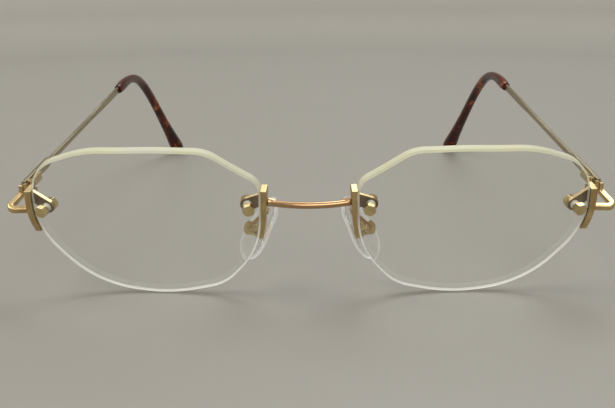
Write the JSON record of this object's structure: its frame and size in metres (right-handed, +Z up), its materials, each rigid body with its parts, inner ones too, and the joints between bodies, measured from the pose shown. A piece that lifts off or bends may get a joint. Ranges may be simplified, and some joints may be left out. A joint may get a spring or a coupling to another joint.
{
  "type": "rimless eyeglasses",
  "caption": "Rimless eyeglasses with hexagon-screwed lens mounts, wire bridge, rocking nose pads, folding temples and dark plastic ear tips.",
  "frame": {"origin": "centre of the bounding box, at the table the open glasses stand on", "axes": "+X towards the wearer's left, +Y from the lenses back to the ears, +Z up"},
  "size_m": [0.1332, 0.1512, 0.0382],
  "materials": {
    "lens": "clear, frosted on the edge",
    "gold": "polished, lightly tarnished",
    "gold_bright": "polished",
    "tortoiseshell": "glossy dark brown with amber patches",
    "clear_plastic": "clear, glossy"
  },
  "bodies": {
    "front": {"bridge": "gold", "lens_left": "lens", "nasal_mount_left": "gold", "temporal_mount_left": "gold", "lens_screws_left": "gold_bright", "lens_nuts_left": "gold_bright", "lens_washers_left": "gold_bright", "lens_sleeves_left": "clear_plastic", "endpiece_left": "gold", "front_hinge_leaf_left": "gold", "pad_arm_left": "gold", "pad_box_left": "gold", "pad_pin_left": "gold_bright", "lens_right": "lens", "nasal_mount_right": "gold", "temporal_mount_right": "gold", "lens_screws_right": "gold_bright", "lens_nuts_right": "gold_bright", "lens_washers_right": "gold_bright", "lens_sleeves_right": "clear_plastic", "endpiece_right": "gold", "front_hinge_leaf_right": "gold", "pad_arm_right": "gold", "pad_box_right": "gold", "pad_pin_right": "gold_bright"},
    "temple_left_arm": {"temple_left": "gold", "temple_hinge_leaf_left": "gold", "hinge_screw_left": "gold_bright", "temple_tip_left": "tortoiseshell"},
    "nose_pad_left_rocker": {"nose_pad_left": "clear_plastic", "pad_lug_left": "gold_bright"},
    "temple_right_arm": {"temple_right": "gold", "temple_hinge_leaf_right": "gold", "hinge_screw_right": "gold_bright", "temple_tip_right": "tortoiseshell"},
    "nose_pad_right_rocker": {"nose_pad_right": "clear_plastic", "pad_lug_right": "gold_bright"}
  },
  "joints": [
    {"name": "temple_hinge_left", "type": "hinge", "parent": "front", "child": "temple_left_arm", "pos_m": [0.0631, -0.06033, 0.0244], "axis": [0, 0, 1], "range_deg": [0, 83]},
    {"name": "temple_hinge_right", "type": "hinge", "parent": "front", "child": "temple_right_arm", "pos_m": [-0.0631, -0.06033, 0.0244], "axis": [0, 0, -1], "range_deg": [0, 80]},
    {"name": "nose_pad_rock_left", "type": "hinge", "parent": "front", "child": "nose_pad_left_rocker", "pos_m": [0.01303, -0.06348, 0.01561], "axis": [-0.5436, -0.788, -0.289], "range_deg": [-6, 6]},
    {"name": "nose_pad_rock_right", "type": "hinge", "parent": "front", "child": "nose_pad_right_rocker", "pos_m": [-0.01303, -0.06348, 0.01561], "axis": [-0.5436, 0.788, 0.289], "range_deg": [-6, 6]}
  ]
}
